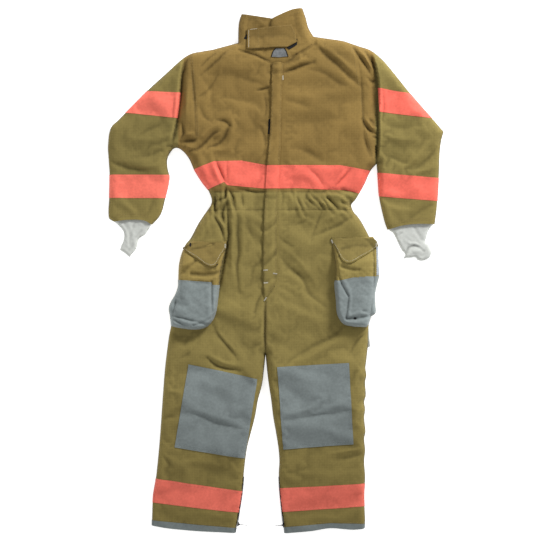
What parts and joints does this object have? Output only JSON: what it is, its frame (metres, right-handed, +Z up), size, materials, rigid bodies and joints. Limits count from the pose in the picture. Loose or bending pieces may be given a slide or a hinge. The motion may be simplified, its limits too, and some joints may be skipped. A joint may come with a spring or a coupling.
{
  "type": "turnout coverall",
  "caption": "One-piece firefighter's turnout coverall laid flat, with folding limbs, storm flap over a front zip, bellows pockets, knee patches and coloured trim.",
  "frame": {"origin": "on the floor under the middle of the bounding box, with the coverall lying on its back", "axes": "+Z up out of the coverall's front, +Y from the hems to the collar, +X to the wearer's left"},
  "size_m": [1.066, 1.666, 0.0875],
  "materials": {
    "shell_fabric": "matte woven aramid, tan",
    "quilted_liner": "quilted facecloth",
    "fluorescent_trim": "fluorescent coral, retroreflective",
    "pocket_leather": "grey, matte",
    "knee_suede": "grey-brown suede",
    "wrist_knit": "off-white rib knit",
    "hook_tape": "black hook pile",
    "zip_tape": "black woven tape with moulded teeth",
    "zip_metal": "blackened",
    "webbing": "black webbing",
    "label": "silver-grey woven, blank",
    "elastic": "woven elastic"
  },
  "bodies": {
    "torso": {"bodice_back": "shell_fabric", "bodice_front_right": "shell_fabric", "bodice_front_left": "shell_fabric", "waistband": "shell_fabric", "waist_elastic": "elastic", "seat_back": "shell_fabric", "seat_front_right": "shell_fabric", "seat_front_left": "shell_fabric", "body_liner": "quilted_liner", "chest_trim": "fluorescent_trim", "main_zip_chain": "zip_tape", "placket_hook_tape": "hook_tape", "pocket_bags": "shell_fabric", "pocket_guards": "pocket_leather", "hanger_loop": "webbing", "neck_label": "label"},
    "collar": {"collar": "shell_fabric", "collar_hook_tape": "hook_tape"},
    "throat_tab": {"throat_tab": "shell_fabric"},
    "storm_flap": {"storm_flap": "shell_fabric", "storm_flap_trim": "fluorescent_trim"},
    "main_zip_slider": {"main_zip_slider": "zip_metal"},
    "upper_sleeve_right": {"upper_sleeve_right": "shell_fabric", "upper_sleeve_liner_right": "quilted_liner", "upper_sleeve_trim_right": "fluorescent_trim"},
    "forearm_right": {"forearm_right": "shell_fabric", "forearm_liner_right": "quilted_liner", "forearm_trim_right": "fluorescent_trim", "wristlet_right": "wrist_knit"},
    "thigh_right": {"thigh_right": "shell_fabric", "thigh_liner_right": "quilted_liner", "knee_patch_upper_right": "knee_suede"},
    "shin_right": {"shin_right": "shell_fabric", "shin_liner_right": "quilted_liner", "knee_patch_lower_right": "knee_suede", "leg_trim_right": "fluorescent_trim", "hem_guard_right": "pocket_leather", "leg_zip_chain_right": "zip_tape"},
    "leg_zip_slider_right": {"leg_zip_slider_right": "zip_metal"},
    "leg_zip_pull_right": {"leg_zip_pull_right": "zip_metal"},
    "pocket_flap_right": {"pocket_flap_right": "shell_fabric"},
    "upper_sleeve_left": {"upper_sleeve_left": "shell_fabric", "upper_sleeve_liner_left": "quilted_liner", "upper_sleeve_trim_left": "fluorescent_trim"},
    "forearm_left": {"forearm_left": "shell_fabric", "forearm_liner_left": "quilted_liner", "forearm_trim_left": "fluorescent_trim", "wristlet_left": "wrist_knit"},
    "thigh_left": {"thigh_left": "shell_fabric", "thigh_liner_left": "quilted_liner", "knee_patch_upper_left": "knee_suede"},
    "shin_left": {"shin_left": "shell_fabric", "shin_liner_left": "quilted_liner", "knee_patch_lower_left": "knee_suede", "leg_trim_left": "fluorescent_trim", "hem_guard_left": "pocket_leather", "leg_zip_chain_left": "zip_tape"},
    "leg_zip_slider_left": {"leg_zip_slider_left": "zip_metal"},
    "leg_zip_pull_left": {"leg_zip_pull_left": "zip_metal"},
    "pocket_flap_left": {"pocket_flap_left": "shell_fabric"}
  },
  "joints": [
    {"name": "collar_fold", "type": "hinge", "parent": "torso", "child": "collar", "pos_m": [0, 0.7, 0.046], "axis": [1, 0, 0], "range_deg": [0, 90]},
    {"name": "throat_tab_hinge", "type": "hinge", "parent": "collar", "child": "throat_tab", "pos_m": [0.062, 0.745, 0.0423], "axis": [0, 1, 0], "range_deg": [0, 150]},
    {"name": "storm_flap_hinge", "type": "hinge", "parent": "torso", "child": "storm_flap", "pos_m": [0.00796, 0.3, 0.0463], "axis": [0.0332, 0.9995, 0], "range_deg": [0, 140]},
    {"name": "main_zip_slide", "type": "slide", "parent": "torso", "child": "main_zip_slider", "axis": [0.0332, 0.9995, 0], "range_m": [-0.69, 0]},
    {"name": "shoulder_right", "type": "hinge", "parent": "torso", "child": "upper_sleeve_right", "pos_m": [-0.31, 0.5425, 0.046], "axis": [0.1344, 0.9909, 0], "range_deg": [0, 90]},
    {"name": "elbow_right", "type": "hinge", "parent": "upper_sleeve_right", "child": "forearm_right", "pos_m": [-0.438, 0.385, 0.04], "axis": [-1, 0, 0], "range_deg": [0, 140]},
    {"name": "pocket_flap_right_hinge", "type": "hinge", "parent": "torso", "child": "pocket_flap_right", "pos_m": [-0.229, 0.094, 0.0463], "axis": [-1, 0, 0], "range_deg": [0, 100]},
    {"name": "hip_right", "type": "hinge", "parent": "torso", "child": "thigh_right", "pos_m": [-0.205, -0.255, 0.046], "axis": [-1, 0, 0], "range_deg": [0, 60]},
    {"name": "knee_right", "type": "hinge", "parent": "thigh_right", "child": "shin_right", "pos_m": [-0.205, -0.425, 0.044], "axis": [-1, 0, 0], "range_deg": [0, 120]},
    {"name": "leg_zip_slide_right", "type": "slide", "parent": "shin_right", "child": "leg_zip_slider_right", "axis": [0.1229, 0.9924, 0], "range_m": [0, 0.15]},
    {"name": "leg_zip_pull_right_hinge", "type": "hinge", "parent": "leg_zip_slider_right", "child": "leg_zip_pull_right", "pos_m": [-0.11753, -0.79918, 0.021], "axis": [0, 0, 1], "range_deg": [-80, 80]},
    {"name": "shoulder_left", "type": "hinge", "parent": "torso", "child": "upper_sleeve_left", "pos_m": [0.314, 0.54, 0.046], "axis": [0.04, -0.9992, 0], "range_deg": [0, 90]},
    {"name": "elbow_left", "type": "hinge", "parent": "upper_sleeve_left", "child": "forearm_left", "pos_m": [0.422, 0.385, 0.04], "axis": [-1, 0, 0], "range_deg": [0, 140]},
    {"name": "pocket_flap_left_hinge", "type": "hinge", "parent": "torso", "child": "pocket_flap_left", "pos_m": [0.248, 0.106, 0.0463], "axis": [-1, 0, 0], "range_deg": [0, 100]},
    {"name": "hip_left", "type": "hinge", "parent": "torso", "child": "thigh_left", "pos_m": [0.13, -0.255, 0.046], "axis": [-1, 0, 0], "range_deg": [0, 60]},
    {"name": "knee_left", "type": "hinge", "parent": "thigh_left", "child": "shin_left", "pos_m": [0.13, -0.425, 0.044], "axis": [-1, 0, 0], "range_deg": [0, 120]},
    {"name": "leg_zip_slide_left", "type": "slide", "parent": "shin_left", "child": "leg_zip_slider_left", "axis": [-0.0932, 0.9956, 0], "range_m": [0, 0.15]},
    {"name": "leg_zip_pull_left_hinge", "type": "hinge", "parent": "leg_zip_slider_left", "child": "leg_zip_pull_left", "pos_m": [0.01745, -0.80185, 0.021], "axis": [0, 0, 1], "range_deg": [-80, 80]}
  ]
}
